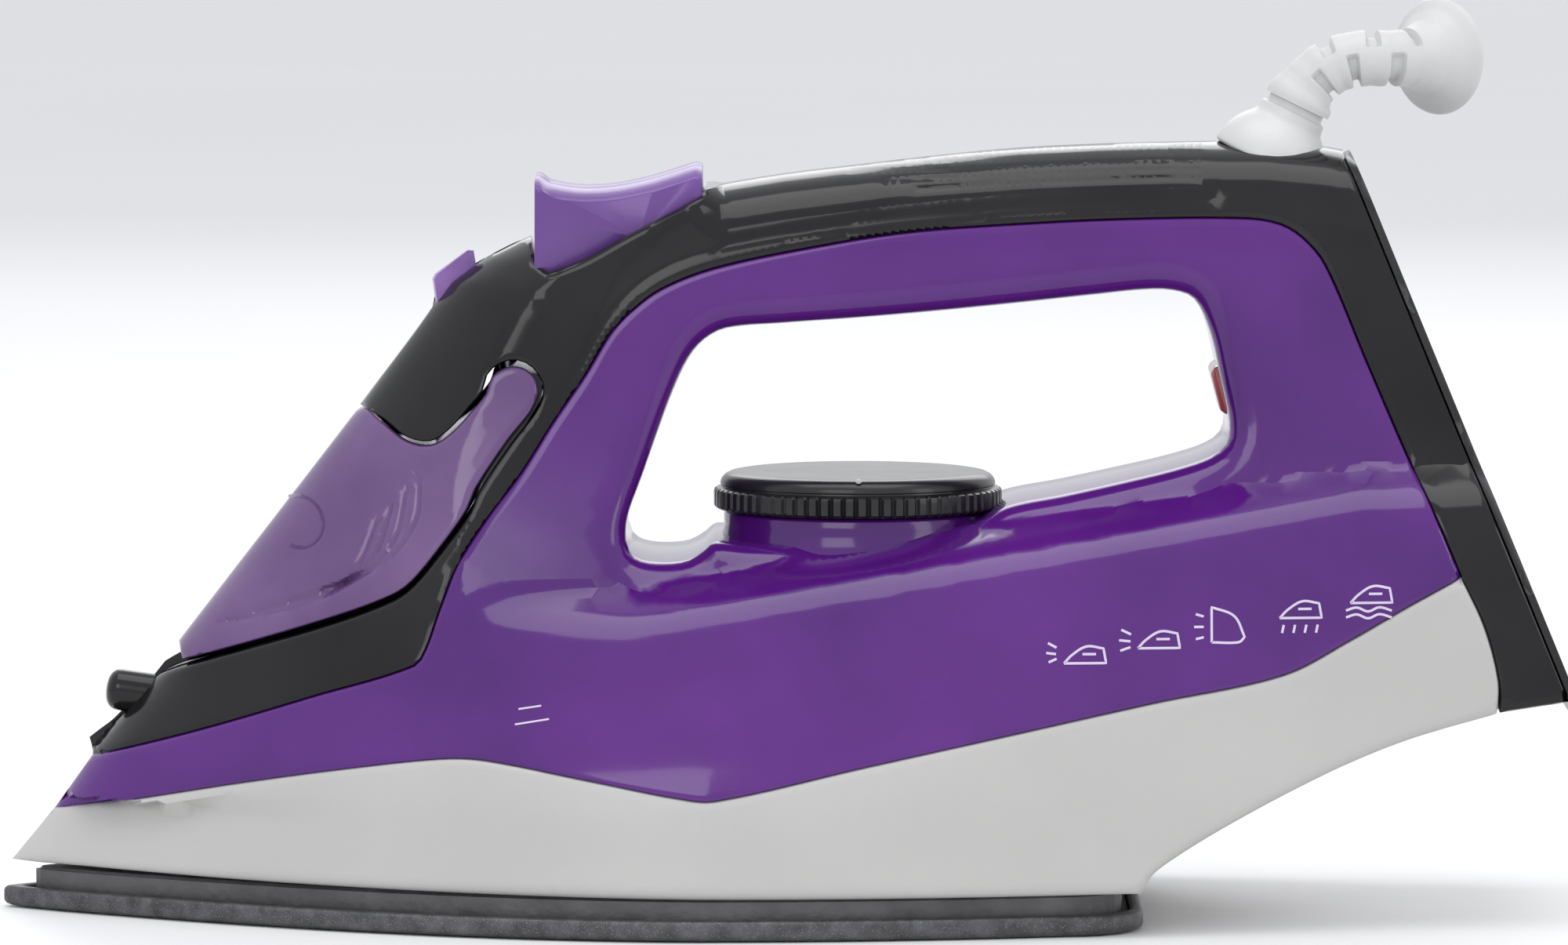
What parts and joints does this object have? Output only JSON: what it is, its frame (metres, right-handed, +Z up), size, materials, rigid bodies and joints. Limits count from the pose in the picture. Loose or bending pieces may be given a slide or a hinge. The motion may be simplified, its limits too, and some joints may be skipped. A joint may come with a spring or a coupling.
{
  "type": "steam iron",
  "caption": "Steam iron with a pointed metal soleplate, translucent water tank in an open handle, thermostat dial, trigger keys, filler door and swivelling cord guard.",
  "frame": {"origin": "centre of the soleplate's working face", "axes": "+Z up from the working face, nose towards -X, heel towards +X"},
  "size_m": [0.2794, 0.1152, 0.1621],
  "materials": {
    "sole_steel": "fine brushed, dark speckled rim",
    "cast_aluminium": "as cast",
    "element_steel": "satin",
    "pressed_aluminium": "pressed sheet",
    "ceramic": "fired, matt",
    "skirt_white": "off-white, fine grain",
    "tank_violet": "translucent deep violet",
    "seal_rubber": "soft, matt",
    "cover_black": "high gloss",
    "rear_black": "gloss",
    "door_violet": "translucent violet",
    "pin_steel": "ground",
    "nozzle_black": "gloss",
    "hose_clear": "silicone",
    "pump_white": "natural moulding",
    "button_violet": "satin, faintly clouded",
    "spring_steel": "drawn wire",
    "lever_violet": "satin",
    "dial_black": "fine satin",
    "pointer_violet": "clear coated",
    "lens_red": "moulded lens",
    "neon_glass": "clear",
    "lead_red": "sleeved wire",
    "screw_steel": "zinc plated",
    "guard_white": "smooth moulding",
    "swivel_grey": "smooth moulding",
    "sleeve_white": "soft moulding"
  },
  "bodies": {
    "housing": {"soleplate": "sole_steel", "heater_casting": "cast_aluminium", "heating_element": "element_steel", "steam_chamber_lid": "pressed_aluminium", "thermostat": "ceramic", "thermal_fuse": "ceramic", "heat_shield_skirt": "skirt_white", "water_tank": "tank_violet", "tank_boss_seal": "seal_rubber", "top_cover": "cover_black", "handle_rear_cover": "rear_black", "door_pins": "pin_steel", "filler_seal": "seal_rubber", "spray_nozzle": "nozzle_black", "spray_hose": "hose_clear", "spray_pump": "pump_white", "steam_pump": "pump_white", "valve_seat": "seal_rubber", "dial_pointer": "pointer_violet", "pilot_lens": "lens_red", "neon_lamp": "neon_glass", "terminal_block": "pump_white", "lamp_leads": "lead_red", "body_screws": "screw_steel", "cover_screws": "screw_steel", "cord_collar": "guard_white"},
    "dial": {"thermostat_dial": "dial_black", "dial_shaft": "pin_steel"},
    "lever": {"steam_lever": "lever_violet"},
    "valve": {"valve_rod": "pin_steel"},
    "spray_key": {"spray_button": "button_violet", "spray_plunger": "pump_white", "spray_spring": "spring_steel"},
    "steam_key": {"steam_button": "button_violet", "steam_plunger": "pump_white", "steam_spring": "spring_steel"},
    "door": {"filler_door": "door_violet"},
    "swivel": {"swivel_ring": "swivel_grey"},
    "guard": {"cord_ball": "guard_white", "cord_guard": "sleeve_white"}
  },
  "joints": [
    {"name": "dial_turn", "type": "hinge", "parent": "housing", "child": "dial", "pos_m": [0.0514, 0, 0.075], "axis": [0, 0, 1], "range_deg": [-285, 0]},
    {"name": "lever_swing", "type": "hinge", "parent": "housing", "child": "lever", "pos_m": [-0.002, 0, 0.03], "axis": [-0.1322, 0, 0.9912], "range_deg": [-20, 20]},
    {"name": "valve_lift", "type": "slide", "parent": "housing", "child": "valve", "axis": [-0.1322, 0, 0.9912], "range_m": [-0.001, 0.001]},
    {"name": "spray_press", "type": "slide", "parent": "housing", "child": "spray_key", "axis": [0, 0, -1], "range_m": [0, 0.004], "stiffness_N_per_m": 400, "springref_m": -0.003, "deforming": ["spray_spring"]},
    {"name": "steam_press", "type": "slide", "parent": "housing", "child": "steam_key", "axis": [0, 0, -1], "range_m": [0, 0.004], "stiffness_N_per_m": 400, "springref_m": -0.003, "deforming": ["steam_spring"]},
    {"name": "door_open", "type": "hinge", "parent": "housing", "child": "door", "pos_m": [-0.0101, 0, 0.0934], "axis": [0, 1, 0], "range_deg": [0, 50]},
    {"name": "guard_swivel", "type": "hinge", "parent": "housing", "child": "swivel", "pos_m": [0.1244, 0, 0.1326], "axis": [0, 0, 1], "range_deg": [-90, 90]},
    {"name": "guard_tilt", "type": "hinge", "parent": "swivel", "child": "guard", "pos_m": [0.1244, 0, 0.1326], "axis": [0, 1, 0], "range_deg": [-25, 4]}
  ],
  "couplings": [
    {"joint": "lever_swing", "follows": "valve_lift", "rad_per_m": 349}
  ]
}
